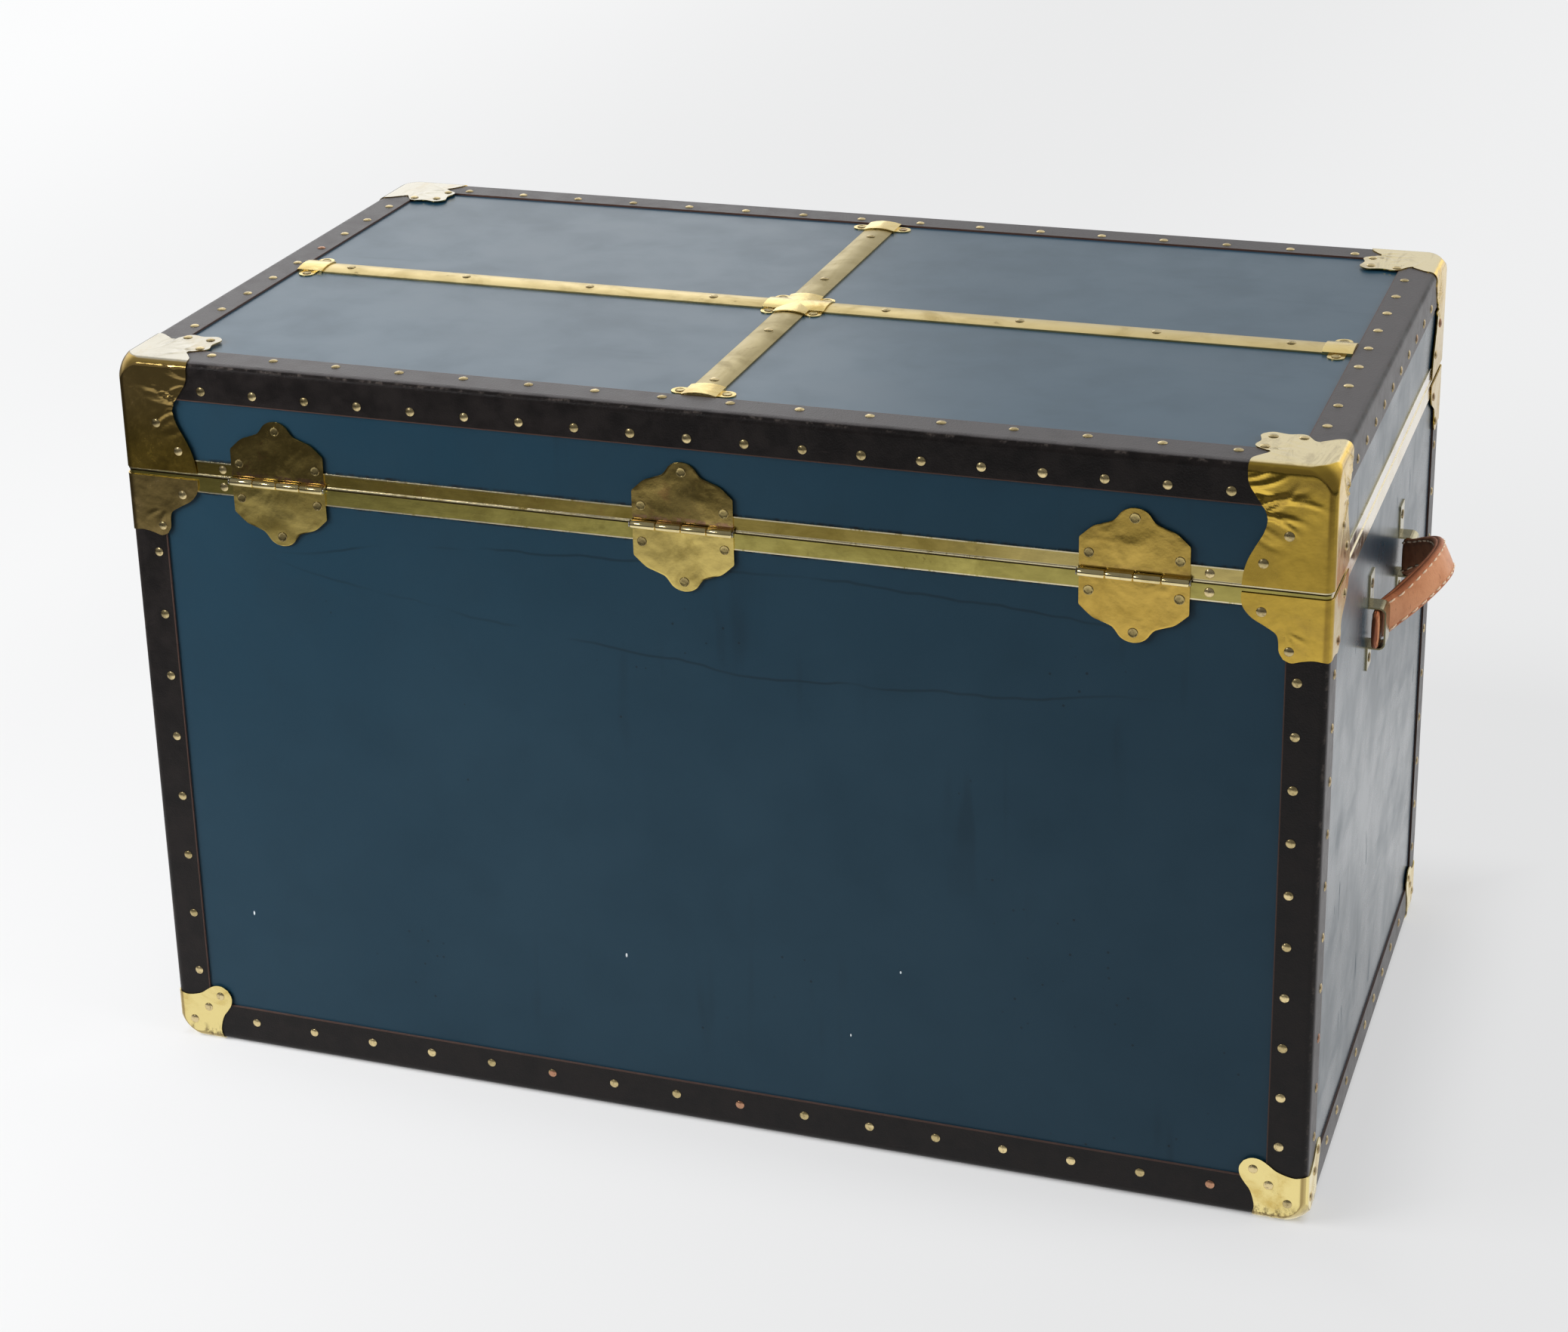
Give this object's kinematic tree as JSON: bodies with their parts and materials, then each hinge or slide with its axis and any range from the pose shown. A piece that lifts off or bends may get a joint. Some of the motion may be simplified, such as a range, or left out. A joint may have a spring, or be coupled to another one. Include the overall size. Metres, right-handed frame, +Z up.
{
  "type": "storage trunk",
  "caption": "Flat-topped rectangular storage trunk of fibre-covered boards with riveted dark bindings, brass corners and hinges, and a leather handle on each end.",
  "frame": {"origin": "on the floor under the middle of the trunk", "axes": "+X along the length towards the trunk's left end, +Y towards the hinges, +Z up"},
  "size_m": [1.0138, 0.5321, 0.5837],
  "materials": {
    "blue_fibre": "smooth dark teal-blue vulcanised fibre",
    "black_fibre": "near-black brown vulcanised fibre strip",
    "brass": "polished and slightly tarnished sheet",
    "rivet_brass": "polished domed heads",
    "steel": "plain",
    "lining": "matt lining paper",
    "tan_leather": "smooth tan strap leather"
  },
  "bodies": {
    "base": {"base_back": "blue_fibre", "base_bottom": "blue_fibre", "base_clamp_back_left": "brass", "base_clamp_back_right": "brass", "base_clamp_front_left": "brass", "base_clamp_front_right": "brass", "base_front": "blue_fibre", "base_left": "blue_fibre", "base_lining": "lining", "base_right": "blue_fibre", "base_rim": "brass", "base_rivets": "rivet_brass", "bottom_binding_back": "black_fibre", "bottom_binding_front": "black_fibre", "bottom_binding_left": "black_fibre", "bottom_binding_right": "black_fibre", "bottom_corner_back_left": "brass", "bottom_corner_back_right": "brass", "bottom_corner_front_left": "brass", "bottom_corner_front_right": "brass", "clasp_pins": "steel", "clasp_plates": "brass", "handle_loops": "brass", "hinge_pins": "steel", "lock_case": "steel", "lock_plate": "brass", "lower_hinge_leaves": "brass", "post_bindings": "black_fibre", "stay_stud": "steel"},
    "lid": {"clasp_lugs": "brass", "lid_back": "blue_fibre", "lid_binding_back": "black_fibre", "lid_binding_front": "black_fibre", "lid_binding_left": "black_fibre", "lid_binding_right": "black_fibre", "lid_corner_back_left": "brass", "lid_corner_back_right": "brass", "lid_corner_front_left": "brass", "lid_corner_front_right": "brass", "lid_front": "blue_fibre", "lid_left": "blue_fibre", "lid_lining": "lining", "lid_right": "blue_fibre", "lid_rim": "brass", "lid_rivets": "rivet_brass", "lid_top": "blue_fibre", "lock_strike": "brass", "slat_clips": "brass", "slat_long": "brass", "slat_saddle": "brass", "slat_short": "brass", "stay_bracket": "steel", "upper_hinge_leaves": "brass"},
    "stay_bar": {"stay_bar": "steel"},
    "lock_bolt": {"lock_bolt": "steel"},
    "lock_plug": {"lock_plug": "brass"},
    "clasp_flap_left": {"clasp_flap_left": "brass"},
    "clasp_flap_right": {"clasp_flap_right": "brass"},
    "handle_left": {"handle_strap_left": "tan_leather"},
    "handle_right": {"handle_strap_right": "tan_leather"}
  },
  "joints": [
    {"name": "lid_hinge", "type": "hinge", "parent": "base", "child": "lid", "pos_m": [0, 0.26215, 0.4915], "axis": [-1, 0, 0], "range_deg": [0, 105]},
    {"name": "stay_pivot", "type": "hinge", "parent": "lid", "child": "stay_bar", "pos_m": [0.4451, 0.10415, 0.5165], "axis": [-1, 0, 0], "range_deg": [-52.5, 0]},
    {"name": "lock_slide", "type": "slide", "parent": "base", "child": "lock_bolt", "axis": [1, 0, 0], "range_m": [0, 0.006]},
    {"name": "lock_turn", "type": "hinge", "parent": "base", "child": "lock_plug", "pos_m": [0, -0.2574, 0.4655], "axis": [0, -1, 0], "range_deg": [0, 90]},
    {"name": "clasp_hinge_left", "type": "hinge", "parent": "base", "child": "clasp_flap_left", "pos_m": [0.255, -0.26345, 0.47], "axis": [-1, 0, 0], "range_deg": [0, 180]},
    {"name": "clasp_hinge_right", "type": "hinge", "parent": "base", "child": "clasp_flap_right", "pos_m": [-0.255, -0.26345, 0.47], "axis": [-1, 0, 0], "range_deg": [0, 180]},
    {"name": "handle_swing_left", "type": "hinge", "parent": "base", "child": "handle_left", "pos_m": [0.462, 0, 0.395], "axis": [0, 1, 0], "range_deg": [-8, 8]},
    {"name": "handle_swing_right", "type": "hinge", "parent": "base", "child": "handle_right", "pos_m": [-0.462, 0, 0.395], "axis": [0, 1, 0], "range_deg": [-8, 8]}
  ],
  "couplings": [
    {"joint": "stay_pivot", "follows": "lid_hinge", "ratio": -0.5},
    {"joint": "lock_turn", "follows": "lock_slide", "rad_per_m": 261.7}
  ]
}
